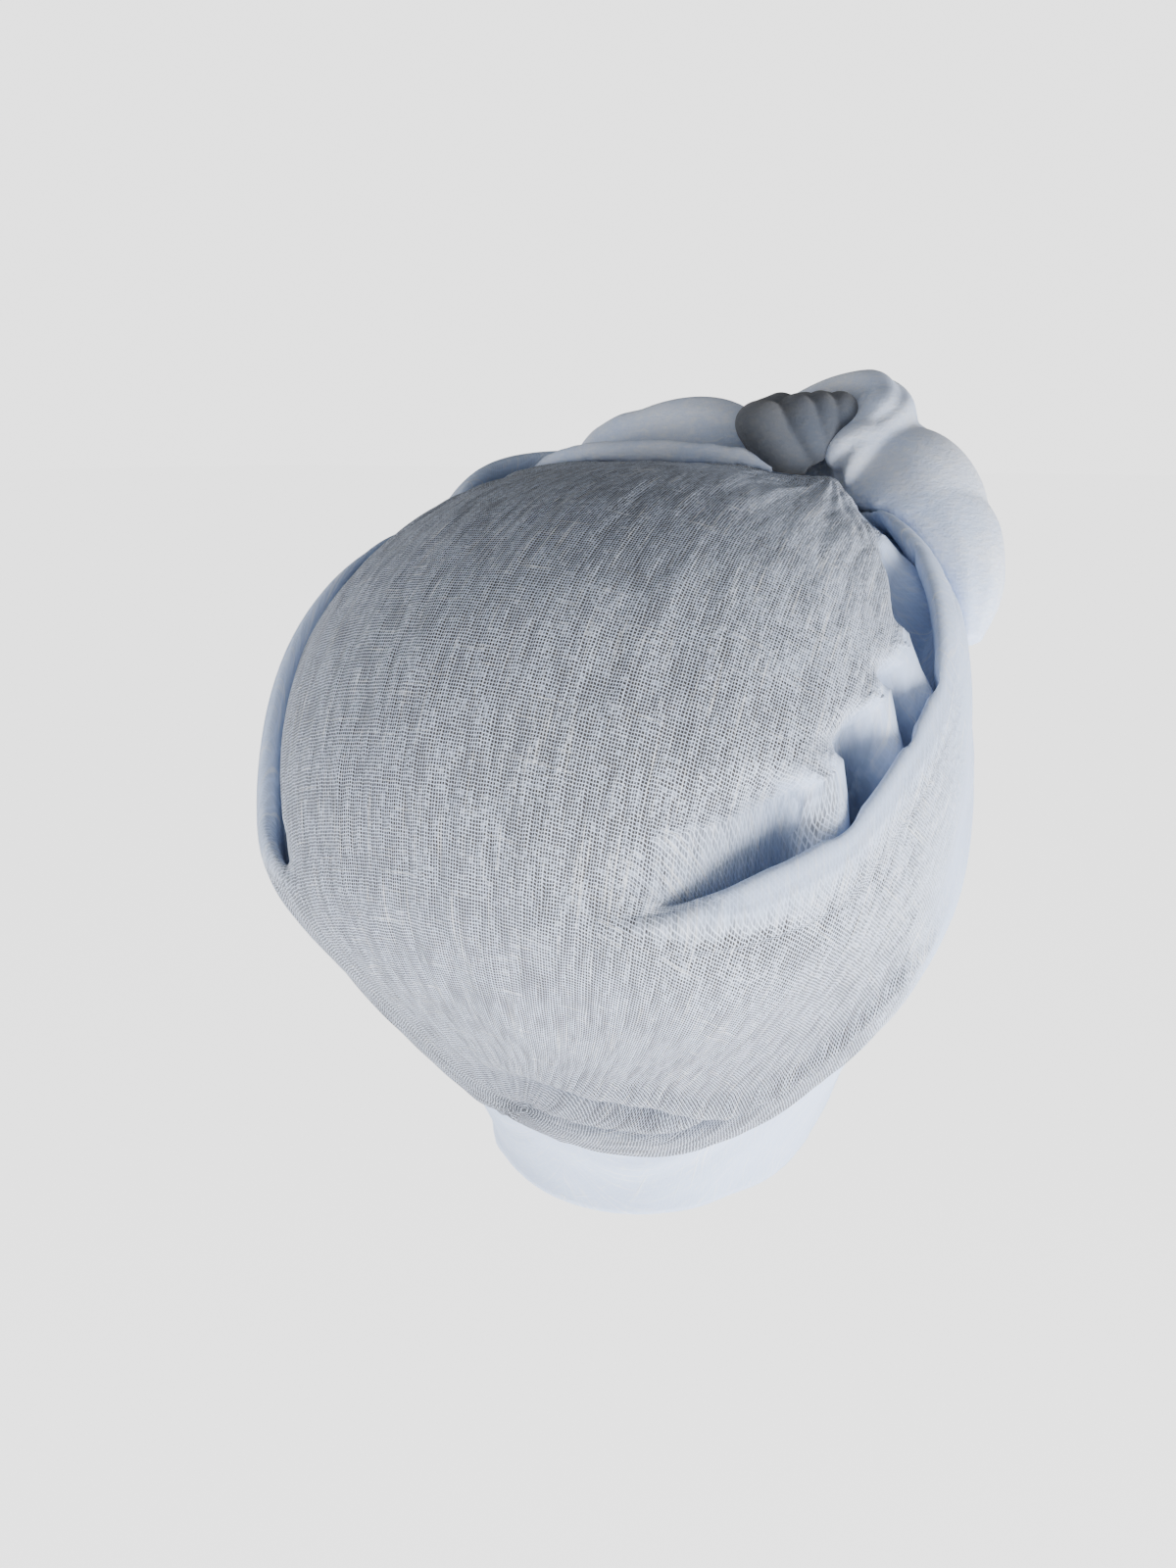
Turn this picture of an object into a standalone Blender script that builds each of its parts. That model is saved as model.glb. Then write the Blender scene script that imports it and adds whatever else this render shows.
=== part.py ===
"""Turban headwrap in crinkled cotton gauze, pleated round the crown and knotted over the brow.

Metres, +Z up. The origin is the middle of the head's hollow at brow height. +Y is the back of the
head, -Y the face side and -X the wearer's right. A "turn" is an angle in degrees round the head
from the middle of the back, growing towards the wearer's right. "Down" is a share of the way down
the cloth: 0 at the crown's top, 1 at the widest line and 2 at the neck's hem.
"""

from math import cos, pi, radians, sin

import bmesh
import bpy
import numpy as np
from mathutils import Vector
from mathutils.bvhtree import BVHTree

# Driving sizes of the wrap
CROWN_HEIGHT = 0.120
GIRTH_RADIUS = 0.105
NECK_RADIUS = 0.050
NAPE_DROP = 0.100
CROWN_FULLNESS = 2.3
CLOTH = 0.0011
BAND_CLOTH = 0.0016
GAP = 0.0004

# The pleat that runs round the crown
PLEAT_TUCK = 0.012
PLEAT_LIFT = 0.0068
PLEAT_SPREAD = 0.060
GATHER_DEPTH = 0.0060
GATHER_LENGTH = 0.026

# The band under the wrap
BAND_OVERLAP = 0.22
FLUSH = 0.22
EDGE_CURL = 0.0012

# The knot over the brow
KNOT_PLACE = (-0.0195, -0.062, 0.131)
KNOT_REACH = 0.060
SWEEP_WIDE = 0.0200
SWEEP_DEEP = 0.0175
FOLD_WIDE = 0.0100
FOLD_DEEP = 0.0090
COIL_RADIUS = 0.0125
CREASE = 0.09
REST = 0.0009

# Finish of each piece: the single cloth of the crown lets more dark through than the folded band
FINISH = {
    "crown_wrap": (0.50, 0.54, 0.61),
    "nape_band": (0.62, 0.66, 0.73),
    "knot_loops": (0.56, 0.61, 0.70),
    "knot_coil": (0.44, 0.49, 0.58),
}
ROUGHNESS = 0.9

# Facets
COARSE_TURN = 8
FINE_TURN = 3
FINE_FROM = 28
FINE_TO = 104
ROLL_SIDES = 20
ROLL_STEPS = 30

# Outline of the cloth at each turn. Reach is a share of GIRTH_RADIUS, widest of CROWN_HEIGHT, full
# of CROWN_FULLNESS, hem_reach of NECK_RADIUS and hem_drop of NAPE_DROP; belly is how much rounder
# than an even curve the cloth hangs between the widest line and the hem.
OUTLINE_COLUMNS = ("turn", "reach", "widest", "full", "belly", "hem_reach", "hem_drop")
OUTLINE = (
    (-150, 0.92, 0.46, 1.70, 0.00, 1.74, 0.03),
    (-120, 0.98, 0.46, 1.90, 0.00, 1.24, 0.60),
    (-90, 0.94, 0.24, 1.16, 0.02, 1.02, 0.82),
    (-60, 1.00, 0.20, 1.06, 0.05, 0.98, 0.88),
    (-30, 1.04, 0.21, 0.97, 0.06, 0.93, 0.885),
    (0, 1.03, 0.22, 1.00, 0.05, 0.93, 0.885),
    (30, 1.01, 0.23, 1.00, 0.02, 0.95, 0.87),
    (60, 0.95, 0.25, 1.00, 0.10, 0.96, 0.84),
    (90, 0.86, 0.27, 1.02, 0.22, 1.02, 0.80),
    (120, 0.825, 0.32, 1.07, 0.20, 1.24, 0.60),
    (150, 0.86, 0.38, 1.15, 0.10, 1.74, 0.03),
    (180, 0.90, 0.42, 1.40, 0.00, 1.80, -0.02),
)

# The rim of the pleat: how far down it lies, how far it is open, how much of PLEAT_LIFT it stands
# off, and where the wrap's lower edge is
RIM_COLUMNS = ("turn", "down", "open", "lift", "edge")
RIM = (
    (-152, 0.42, 0.00, 1.30, 1.00),
    (-137, 0.43, 0.25, 1.50, 1.02),
    (-125, 0.43, 0.80, 1.65, 1.04),
    (-112, 0.48, 1.00, 1.50, 1.08),
    (-95, 0.57, 1.00, 1.10, 1.12),
    (-75, 0.73, 1.00, 0.65, 1.22),
    (-55, 0.88, 1.00, 0.85, 1.34),
    (-42, 0.97, 0.70, 0.85, 1.42),
    (-25, 1.02, 0.00, 0.80, 1.53),
    (12, 1.01, 0.00, 0.80, 1.69),
    (22, 1.00, 0.05, 0.85, 1.70),
    (32, 0.985, 0.70, 0.95, 1.70),
    (41, 0.965, 1.00, 1.00, 1.68),
    (53, 0.92, 1.00, 1.00, 1.63),
    (64, 0.83, 1.00, 1.00, 1.49),
    (75, 0.75, 1.00, 1.00, 1.33),
    (88, 0.64, 1.00, 1.00, 1.18),
    (105, 0.53, 1.00, 0.95, 1.08),
    (120, 0.46, 1.00, 0.80, 1.03),
    (142, 0.42, 0.00, 0.80, 0.99),
    (160, 0.41, 0.00, 0.80, 0.97),
    (180, 0.41, 0.00, 0.80, 0.97),
)

# Gathers of the crown's cloth where it goes under the rim: minus is a pocket that opens below the
# rim, as a share of GATHER_DEPTH, and plus is a tip that is caught up to the rim and closes it
GATHER_COLUMNS = ("turn", "depth")
GATHERS = (
    (-150, 0.0),
    (-75, -0.5),
    (-55, -0.5),
    (-40, -0.1),
    (-20, 0.0),
    (26, 0.0),
    (34, -0.4),
    (41, -0.8),
    (47, -0.5),
    (51, 0.24),
    (55, -0.6),
    (59, -0.8),
    (62, -0.5),
    (65, 0.22),
    (68, -0.4),
    (71, -0.3),
    (74, 0.18),
    (80, -0.9),
    (88, -0.8),
    (97, 0.2),
    (106, -0.5),
    (116, 0.1),
    (130, -0.2),
    (150, 0.0),
)

# Path of each roll of the knot from its middle. Right, ahead and up are shares of KNOT_REACH
# towards the wearer's right, the face side and the top; wide and deep are shares of the roll's
# own half sizes; lean turns the section about the path, in degrees.
ROLL_COLUMNS = ("right", "ahead", "up", "wide", "deep", "lean")
SWEEP = (
    (-1.34, 0.10, -0.80, 0.20, 0.20, 0),
    (-1.29, 0.15, -0.58, 0.52, 0.48, 0),
    (-1.14, 0.20, -0.31, 0.74, 0.70, 0),
    (-0.90, 0.21, -0.10, 0.78, 0.74, 0),
    (-0.58, 0.18, -0.04, 0.64, 0.60, 0),
    (-0.24, 0.14, -0.19, 0.48, 0.50, 0),
    (0.08, 0.12, -0.27, 0.46, 0.50, 0),
    (0.32, 0.10, -0.28, 0.62, 0.58, 0),
    (0.52, 0.02, -0.27, 0.82, 0.88, 0),
    (0.68, -0.10, -0.40, 0.90, 0.98, 0),
    (0.81, -0.26, -0.60, 0.78, 0.86, 0),
    (0.93, -0.42, -0.82, 0.54, 0.56, 0),
    (0.99, -0.52, -1.00, 0.20, 0.20, 0),
)
TOP_FOLD = (
    (-0.40, 0.26, -0.12, 0.30, 0.30, 0),
    (-0.26, 0.36, 0.00, 0.64, 0.64, 0),
    (-0.02, 0.40, 0.07, 0.88, 0.88, 0),
    (0.20, 0.36, 0.09, 0.98, 1.02, 0),
    (0.35, 0.20, 0.05, 1.00, 0.95, 0),
    (0.42, -0.01, 0.00, 0.86, 0.74, 0),
    (0.37, -0.15, -0.11, 0.62, 0.54, 0),
    (0.30, -0.22, -0.21, 0.26, 0.26, 0),
)
COIL = (
    (-0.41, 0.00, -0.07, 0.35, 0.35, 0),
    (-0.35, 0.00, -0.05, 0.70, 0.72, 0),
    (-0.20, 0.00, 0.00, 0.98, 0.98, 0),
    (0.00, 0.00, -0.01, 1.02, 1.02, 0),
    (0.16, -0.02, -0.07, 0.90, 0.88, 0),
    (0.28, -0.06, -0.15, 0.62, 0.60, 0),
    (0.33, -0.10, -0.22, 0.28, 0.28, 0),
)
# How many creases run along each roll, and how far they turn about it from end to end
CREASE_COLUMNS = ("creases", "turned")
CREASES = {"sweep": (5, 40), "fold": (3, 60), "coil": (5, 120)}

# Where the profile is sampled: shares of the crown, then of the wrap below the pleat
CROWN_STATIONS = (0.20, 0.40, 0.58, 0.74, 0.86, 0.95)
WRAP_STATIONS = (0.12, 0.30, 0.50, 0.72, 0.90, 1.0)
BAND_STATIONS = (0.0, 0.15, 0.30, 0.44, 0.58, 0.72, 0.86, 1.0)

# The pleat in section. Before is the place along the cloth before folding, as a share of
# PLEAT_TUCK; slide is how far the fold carries it down, as a share of PLEAT_TUCK; lift is how far
# out, as a share of PLEAT_LIFT.
PLEAT_COLUMNS = ("before", "slide", "lift")
PLEAT = (
    (-0.90, 0.55, -0.22),
    (-0.50, 1.35, -0.22),
    (-0.36, 1.45, -0.14),
    (-0.24, 1.30, -0.02),
    (0.00, 0.40, 0.12),
    (0.14, -0.12, 0.32),
    (0.28, -0.38, 0.62),
    (0.42, -0.28, 0.90),
    (0.60, 0.02, 1.00),
    (0.95, 0.10, 0.96),
)


def column(rows, names, wanted):
    """One named column of a table as an array."""
    return np.array([row[names.index(wanted)] for row in rows], float)


def around(rows, names, wanted, turn):
    """A table's column at a turn, eased smoothly from row to row round the head."""
    turns = column(rows, names, "turn")
    values = column(rows, names, wanted)
    slopes = [
        (values[(i + 1) % len(values)] - values[i - 1])
        / ((turns[(i + 1) % len(turns)] - turns[i - 1]) % 360)
        for i in range(len(values))
    ]
    here = (turn - turns[0]) % 360
    starts = (turns - turns[0]) % 360
    i = int(np.searchsorted(starts, here, side="right") - 1)
    j = (i + 1) % len(values)
    span = (turns[j] - turns[i]) % 360
    s = (here - starts[i]) / span
    return (
        values[i] * (2 * s**3 - 3 * s**2 + 1)
        + slopes[i] * span * (s**3 - 2 * s**2 + s)
        + values[j] * (3 * s**2 - 2 * s**3)
        + slopes[j] * span * (s**3 - s**2)
    )


def eased(share):
    share = min(max(share, 0.0), 1.0)
    return share * share * (3 - 2 * share)


def outline_point(turn, down):
    """Radius and height of the smooth cloth at a turn, before any pleat."""
    reach = around(OUTLINE, OUTLINE_COLUMNS, "reach", turn) * GIRTH_RADIUS
    widest = around(OUTLINE, OUTLINE_COLUMNS, "widest", turn) * CROWN_HEIGHT
    if down <= 1:
        angle = down * pi / 2
        power = 2 / (CROWN_FULLNESS * around(OUTLINE, OUTLINE_COLUMNS, "full", turn))
        return np.array(
            (reach * sin(angle) ** power, widest + (CROWN_HEIGHT - widest) * max(cos(angle), 0) ** power)
        )
    hem_reach = around(OUTLINE, OUTLINE_COLUMNS, "hem_reach", turn) * NECK_RADIUS
    hem_height = -around(OUTLINE, OUTLINE_COLUMNS, "hem_drop", turn) * NAPE_DROP
    belly = around(OUTLINE, OUTLINE_COLUMNS, "belly", turn)
    share = down - 1
    inward = eased(share) - belly * 4 * share**1.5 * (1 - share)
    return np.array((reach + (hem_reach - reach) * inward, widest + (hem_height - widest) * share))


def outline_frame(turn, down):
    """Point, downward direction and outward direction of the smooth cloth."""
    step = 0.004
    point = outline_point(turn, down)
    along = outline_point(turn, min(down + step, 2)) - outline_point(turn, max(down - step, 0.001))
    along /= np.linalg.norm(along)
    return point, along, np.array((-along[1], along[0]))


def in_head(turn, radius_height):
    """A point of a section, turned to its place round the head."""
    angle = radians(turn)
    radius, height = radius_height
    return (-radius * sin(angle), radius * cos(angle), height)


def wrap_section(turn):
    """The wrap's outer line at one turn, from below the crown's top to its lower edge."""
    rim = around(RIM, RIM_COLUMNS, "down", turn)
    edge = around(RIM, RIM_COLUMNS, "edge", turn)
    raised = around(RIM, RIM_COLUMNS, "lift", turn) * PLEAT_LIFT
    caught = around(GATHERS, GATHER_COLUMNS, "depth", turn)
    gather = min(caught, 0) * GATHER_DEPTH
    opened = max(around(RIM, RIM_COLUMNS, "open", turn), 0) * (1 - max(caught, 0))
    folded = opened**2.6
    tuck = PLEAT_TUCK / (GIRTH_RADIUS * pi / 2)
    first = rim + PLEAT[0][0] * tuck
    last = rim + PLEAT[-1][0] * tuck
    line = []
    for share in CROWN_STATIONS:
        point, _, outward = outline_frame(turn, first * share)
        near = eased(1 - (1 - share) * first / (GATHER_LENGTH / GIRTH_RADIUS))
        line.append(point + outward * gather * near * opened)
    for before, slide, lift in PLEAT:
        point, along, outward = outline_frame(turn, rim + before * tuck)
        inner = eased(1 - (lift + 0.22) / 0.4)
        moved = along * slide * PLEAT_TUCK * folded
        line.append(point + moved + outward * (lift * raised + inner * gather) * opened)
    spread = PLEAT_SPREAD / (GIRTH_RADIUS * pi / 2)
    kept = 0.3
    for share in WRAP_STATIONS:
        down = last + (edge - last) * share
        point, along, outward = outline_frame(turn, down)
        fade = 1 - (1 - kept) * eased((down - last) / spread)
        curl = EDGE_CURL * eased(2 * share - 1)
        line.append(point + outward * (PLEAT[-1][2] * raised * fade * opened + curl))
    return line


def offset_line(line, top, depth):
    """The line moved to its inner side by the cloth's depth."""
    points = [top, *line]
    moved = []
    for i in range(1, len(points)):
        ahead = points[min(i + 1, len(points) - 1)] - points[i]
        behind = points[i] - points[i - 1]
        normals = []
        for step in (ahead, behind):
            length = np.linalg.norm(step)
            if length > 0:
                normals.append(np.array((-step[1], step[0])) / length)
        normal = sum(normals)
        moved.append(points[i] - normal / np.linalg.norm(normal) * depth)
    return moved


def wrap_turns():
    """Turns of the sections: close together where the gathers are."""
    fine = set(range(FINE_FROM, FINE_TO + 1, FINE_TURN))
    coarse = {t for t in range(-180, 180, COARSE_TURN) if not FINE_FROM - 3 < t < FINE_TO + 3}
    return sorted(fine | coarse)


def gauze(name):
    made = bpy.data.materials.new(name)
    made.use_nodes = True
    shader = made.node_tree.nodes["Principled BSDF"]
    shader.inputs["Base Color"].default_value = (*FINISH[name], 1)
    shader.inputs["Roughness"].default_value = ROUGHNESS
    shader.inputs["Metallic"].default_value = 0.0
    return made


def add_object(name, mesh):
    made = bpy.data.objects.new(name, mesh)
    if name in FINISH:
        made.data.materials.append(gauze(name))
    bpy.context.scene.collection.objects.link(made)
    made.data.shade_smooth()
    made.data.set_sharp_from_angle(angle=radians(50))
    return made


def mesh_from(name, points, faces):
    mesh = bpy.data.meshes.new(name)
    mesh.from_pydata([tuple(p) for p in points], [], faces)
    bm = bmesh.new()
    bm.from_mesh(mesh)
    bmesh.ops.recalc_face_normals(bm, faces=bm.faces)
    bm.to_mesh(mesh)
    bm.free()
    return mesh


def domed_shell(name, turns, outer, inner, outer_top, inner_top):
    """A closed shell from an outer and an inner line at each turn, both starting at the top."""
    points = [in_head(0, outer_top), in_head(0, inner_top)]
    rings = []
    for turn, line in zip(turns, [o + i[::-1] for o, i in zip(outer, inner)]):
        rings.append(range(len(points), len(points) + len(line)))
        points += [in_head(turn, p) for p in line]
    faces = []
    for ring, after in zip(rings, rings[1:] + rings[:1]):
        faces.append((0, ring[0], after[0]))
        faces.append((1, after[-1], ring[-1]))
        for k in range(len(ring) - 1):
            faces.append((ring[k], ring[k + 1], after[k + 1], after[k]))
    return mesh_from(name, points, faces)


def crown_wrap():
    """The main cloth: over the crown, under the pleat's rim, and out again round the head."""
    turns = wrap_turns()
    top = np.array((0.0, CROWN_HEIGHT))
    outer = [wrap_section(turn) for turn in turns]
    inner = [offset_line(line, top, CLOTH) for line in outer]
    mesh = domed_shell("crown_wrap", turns, outer, inner, top, top - (0, CLOTH))
    add_object("crown_wrap", mesh)
    return cover_surface(turns, outer, top)


def cover_surface(turns, outer, top):
    """The wrap's outside without the hollow of its pleat, for laying the knot on it."""
    hidden = range(len(CROWN_STATIONS), len(CROWN_STATIONS) + 6)
    lines = [[p for k, p in enumerate(line) if k not in hidden] for line in outer]
    points = [Vector(in_head(0, top))]
    for turn, line in zip(turns, lines):
        points += [Vector(in_head(turn, p)) for p in line]
    long = len(lines[0])
    faces = []
    for i in range(len(turns)):
        a = 1 + i * long
        b = 1 + (i + 1) % len(turns) * long
        faces.append((0, a, b))
        faces += [(a + k, a + k + 1, b + k + 1, b + k) for k in range(long - 1)]
    return BVHTree.FromPolygons(points, faces)


def nape_band():
    """The cloth's folded lower band, from the nape round to the brow, under the wrap's edge."""
    turns = range(-180, 180, COARSE_TURN)
    points = []
    rings = []
    for turn in turns:
        edge = around(RIM, RIM_COLUMNS, "edge", turn)
        start = edge - BAND_OVERLAP
        line = []
        for share in BAND_STATIONS:
            down = start + (2 - start) * share
            point, _, outward = outline_frame(turn, down)
            under = (CLOTH + 2 * GAP) * (1 - eased((down - edge) / FLUSH))
            line.append((point - outward * under, outward))
        outer = [p for p, _ in line]
        inner = [p - outward * BAND_CLOTH for p, outward in line]
        loop = outer + inner[::-1]
        rings.append(range(len(points), len(points) + len(loop)))
        points += [in_head(turn, p) for p in loop]
    faces = []
    for ring, after in zip(rings, rings[1:] + rings[:1]):
        for k in range(len(ring)):
            n = (k + 1) % len(ring)
            faces.append((ring[k], ring[n], after[n], after[k]))
    return add_object("nape_band", mesh_from("nape_band", points, faces))


def smooth_path(rows, names, steps):
    """A table of places along a path as many evenly spaced rows, eased between the given ones."""
    values = np.array(rows, float)
    first = 2 * values[0] - values[1]
    last = 2 * values[-1] - values[-2]
    padded = np.vstack((first, values, last))
    made = []
    for where in np.linspace(0, len(values) - 1, steps):
        i = min(int(where), len(values) - 2)
        s = where - i
        p0, p1, p2, p3 = padded[i : i + 4]
        made.append(
            p1 + 0.5 * s * (p2 - p0 + s * (2 * p0 - 5 * p1 + 4 * p2 - p3 + s * (3 * (p1 - p2) + p3 - p0)))
        )
    return {name: np.array(made)[:, k] for k, name in enumerate(names)}


def roll_points(rows, wide, deep, creases, turned):
    """Rings of points round a roll of cloth that follows a path over the knot."""
    path = smooth_path(rows, ROLL_COLUMNS, ROLL_STEPS)
    middle = np.array(KNOT_PLACE)
    centres = [
        Vector(middle + KNOT_REACH * np.array((-right, -ahead, up)))
        for right, ahead, up in zip(path["right"], path["ahead"], path["up"])
    ]
    rings = []
    for i, centre in enumerate(centres):
        along = (centres[min(i + 1, ROLL_STEPS - 1)] - centres[max(i - 1, 0)]).normalized()
        out = centre - Vector((0, 0, GIRTH_RADIUS * 0.3))
        side = along.cross(out).normalized()
        out = side.cross(along)
        lean = radians(path["lean"][i])
        twist = radians(turned) * i / (ROLL_STEPS - 1)
        ring = []
        for k in range(ROLL_SIDES):
            angle = 2 * pi * k / ROLL_SIDES
            dent = 1 - CREASE * (1 - abs(sin(creases * (angle + twist) / 2))) ** 2 * 2
            across = wide * path["wide"][i] * cos(angle) * dent
            away = deep * path["deep"][i] * sin(angle) * dent
            ring.append(
                centre
                + side * (across * cos(lean) - away * sin(lean))
                + out * (across * sin(lean) + away * cos(lean))
            )
        rings.append(ring)
    return rings, centres, deep * path["deep"]


def height_over(place, trees):
    """How far out the pieces already laid reach, on the line from the head's middle to a place."""
    middle = Vector((0, 0, GIRTH_RADIUS * 0.3))
    out = (place - middle).normalized()
    far = middle + out * GIRTH_RADIUS * 4
    hits = [tree.ray_cast(far, -out)[0] for tree in trees]
    return middle, out, max((hit - middle).length for hit in hits if hit)


def laid_ring(ring, centre, deep, clear, trees):
    """A ring of a roll, raised clear of the pieces under it; its underside is filled down to them."""
    middle, out, under = height_over(centre, trees)
    raised = max(under + REST + deep * 0.5 - (centre - middle).length, 0)
    laid = []
    for k, point in enumerate([p + out * raised for p in ring]):
        middle, out, under = height_over(point, trees)
        reach = (point - middle).length
        below = max(-sin(2 * pi * k / ROLL_SIDES), 0) ** 0.5
        if clear is not None:
            reach += (under + REST + clear - reach) * below
        laid.append(middle + out * max(reach, under + REST))
    return laid


def roll(name, rows, wide, deep, kind, clear, trees):
    """A roll of the knot, laid on the pieces under it, and filled below as far as clear of them."""
    creases, turned = CREASES[kind]
    rings, centres, depths = roll_points(rows, wide, deep, creases, turned)
    rings = [laid_ring(*place, clear, trees) for place in zip(rings, centres, depths)]
    points = [sum(rings[0], Vector()) / ROLL_SIDES]
    for ring in rings:
        points += ring
    points.append(sum(rings[-1], Vector()) / ROLL_SIDES)
    faces = []
    for k in range(ROLL_SIDES):
        n = (k + 1) % ROLL_SIDES
        faces.append((0, 1 + n, 1 + k))
        for i in range(ROLL_STEPS - 1):
            a = 1 + i * ROLL_SIDES
            b = a + ROLL_SIDES
            faces.append((a + k, a + n, b + n, b + k))
        a = 1 + (ROLL_STEPS - 1) * ROLL_SIDES
        faces.append((a + k, a + n, len(points) - 1))
    return add_object(name, mesh_from(name, points, faces))


def cut_or_joined(base, other, operation):
    """The base with the other piece joined to it or cut out of it; the other piece is used up."""
    step = base.modifiers.new("step", "BOOLEAN")
    step.operation = operation
    step.solver = "EXACT"
    step.object = other
    bpy.context.view_layer.update()
    made = bpy.data.meshes.new_from_object(base.evaluated_get(bpy.context.evaluated_depsgraph_get()))
    base.modifiers.remove(step)
    base.data = made
    bpy.data.objects.remove(other)


def grown(source, name, by):
    """A copy of a piece whose surface stands off by an even distance."""
    mesh = source.data.copy()
    for vertex, normal in zip(mesh.vertices, [v.normal.copy() for v in source.data.vertices]):
        vertex.co += normal * by
    return add_object(name, mesh)


def knot(trees):
    """The tied knot: a bow of two loops with a fold over it, and the coil bound round its middle."""
    coil = roll("knot_coil", COIL, COIL_RADIUS, COIL_RADIUS, "coil", None, trees)
    loops = roll("knot_loops", SWEEP, SWEEP_WIDE, SWEEP_DEEP, "sweep", 0, trees)
    fold = roll("fold", TOP_FOLD, FOLD_WIDE, FOLD_DEEP, "fold", 5 * REST, trees)
    cut_or_joined(loops, fold, "UNION")
    cut_or_joined(loops, grown(coil, "seat", 1.5 * GAP), "DIFFERENCE")


def clear_scene():
    for old in list(bpy.data.objects):
        bpy.data.objects.remove(old)


clear_scene()
cover = crown_wrap()
nape_band()
knot([cover])
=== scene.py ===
"""Turban headwrap in pale blue cotton gauze, as it looks worn: the cloth goes over the crown, turns
under a round pleat, runs back down to the nape and is tied in a knot over the brow.

Metres, +Z up; +Y is the back of the head and -X the wearer's right. A "turn" is an angle in degrees
round the head from the middle of the back towards the wearer's right.
"""

from math import cos, exp, pi, radians, sin

import bmesh
import bpy
import numpy as np
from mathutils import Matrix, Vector, noise
from mathutils.bvhtree import BVHTree


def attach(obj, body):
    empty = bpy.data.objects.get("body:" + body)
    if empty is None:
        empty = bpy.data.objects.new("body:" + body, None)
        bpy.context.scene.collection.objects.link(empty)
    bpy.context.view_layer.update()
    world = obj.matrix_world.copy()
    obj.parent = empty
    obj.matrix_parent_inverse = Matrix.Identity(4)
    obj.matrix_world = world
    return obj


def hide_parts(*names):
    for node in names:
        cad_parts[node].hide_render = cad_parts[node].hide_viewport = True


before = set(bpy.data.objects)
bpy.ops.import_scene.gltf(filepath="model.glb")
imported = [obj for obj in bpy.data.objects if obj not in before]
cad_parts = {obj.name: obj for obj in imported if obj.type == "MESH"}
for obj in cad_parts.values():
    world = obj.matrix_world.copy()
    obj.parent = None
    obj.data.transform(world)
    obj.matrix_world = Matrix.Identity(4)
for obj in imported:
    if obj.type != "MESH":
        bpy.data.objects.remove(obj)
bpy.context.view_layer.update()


# The crown and the wrap round it: one layer of open, crinkled cotton gauze pulled over the head,
# tucked under the rim of a round pleat, and brought out again as a smooth roll and a wide band.

CROWN_HEIGHT = 0.120
GIRTH_RADIUS = 0.105
NECK_RADIUS = 0.050
NAPE_DROP = 0.100
CROWN_FULLNESS = 2.3
CLOTH = 0.0011

# Reach is a share of GIRTH_RADIUS, widest of CROWN_HEIGHT, full of CROWN_FULLNESS, hem_reach of
# NECK_RADIUS, hem_drop of NAPE_DROP, and belly is how much the cloth hangs out above the hem
OUTLINE_COLUMNS = ("turn", "reach", "widest", "full", "belly", "hem_reach", "hem_drop")
OUTLINE = (
    (-150, 0.92, 0.46, 1.70, 0.00, 1.74, 0.03),
    (-120, 0.98, 0.46, 1.90, 0.00, 1.24, 0.60),
    (-90, 0.94, 0.24, 1.16, 0.02, 1.02, 0.82),
    (-60, 1.00, 0.20, 1.06, 0.05, 0.98, 0.88),
    (-30, 1.04, 0.21, 0.97, 0.06, 0.93, 0.885),
    (0, 1.03, 0.22, 1.00, 0.05, 0.93, 0.885),
    (30, 1.01, 0.23, 1.00, 0.02, 0.95, 0.87),
    (60, 0.95, 0.25, 1.00, 0.10, 0.96, 0.84),
    (90, 0.86, 0.27, 1.02, 0.22, 1.02, 0.80),
    (120, 0.825, 0.32, 1.07, 0.20, 1.24, 0.60),
    (150, 0.86, 0.38, 1.15, 0.10, 1.74, 0.03),
    (180, 0.90, 0.42, 1.40, 0.00, 1.80, -0.02),
)
# Down is 0 at the crown's top, 1 at the widest line and 2 at the neck's hem; open and lift say how
# far the pleat stands open and off; edge is where the wrap's lower fold lies
RIM_COLUMNS = ("turn", "down", "open", "lift", "edge")
RIM = (
    (-165, 0.38, 0.30, 1.30, 0.99),
    (-140, 0.38, 0.90, 1.50, 1.02),
    (-125, 0.42, 1.00, 1.60, 1.04),
    (-112, 0.43, 1.00, 1.35, 1.08),
    (-95, 0.44, 1.00, 0.75, 1.13),
    (-78, 0.46, 1.00, 0.20, 1.20),
    (-68, 0.48, 1.00, 0.10, 1.26),
    (-61, 0.52, 1.00, 0.20, 1.31),
    (-56, 0.60, 1.00, 0.60, 1.34),
    (-51, 0.74, 1.00, 0.85, 1.37),
    (-45, 0.92, 1.00, 0.85, 1.40),
    (-39, 1.03, 0.90, 0.85, 1.48),
    (-30, 1.06, 0.30, 0.80, 1.58),
    (-20, 1.04, 0.00, 0.80, 1.65),
    (12, 1.01, 0.00, 0.80, 1.76),
    (22, 1.00, 0.05, 0.85, 1.78),
    (32, 0.985, 0.70, 0.95, 1.77),
    (41, 0.965, 1.00, 1.00, 1.74),
    (53, 0.92, 1.00, 1.00, 1.69),
    (64, 0.83, 1.00, 1.00, 1.60),
    (75, 0.75, 1.00, 1.00, 1.46),
    (88, 0.64, 1.00, 1.00, 1.28),
    (105, 0.53, 1.00, 0.95, 1.08),
    (120, 0.46, 1.00, 0.80, 1.03),
    (142, 0.42, 0.00, 0.80, 0.99),
    (160, 0.41, 0.00, 0.80, 0.97),
    (180, 0.41, 0.00, 0.80, 0.97),
)
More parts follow.
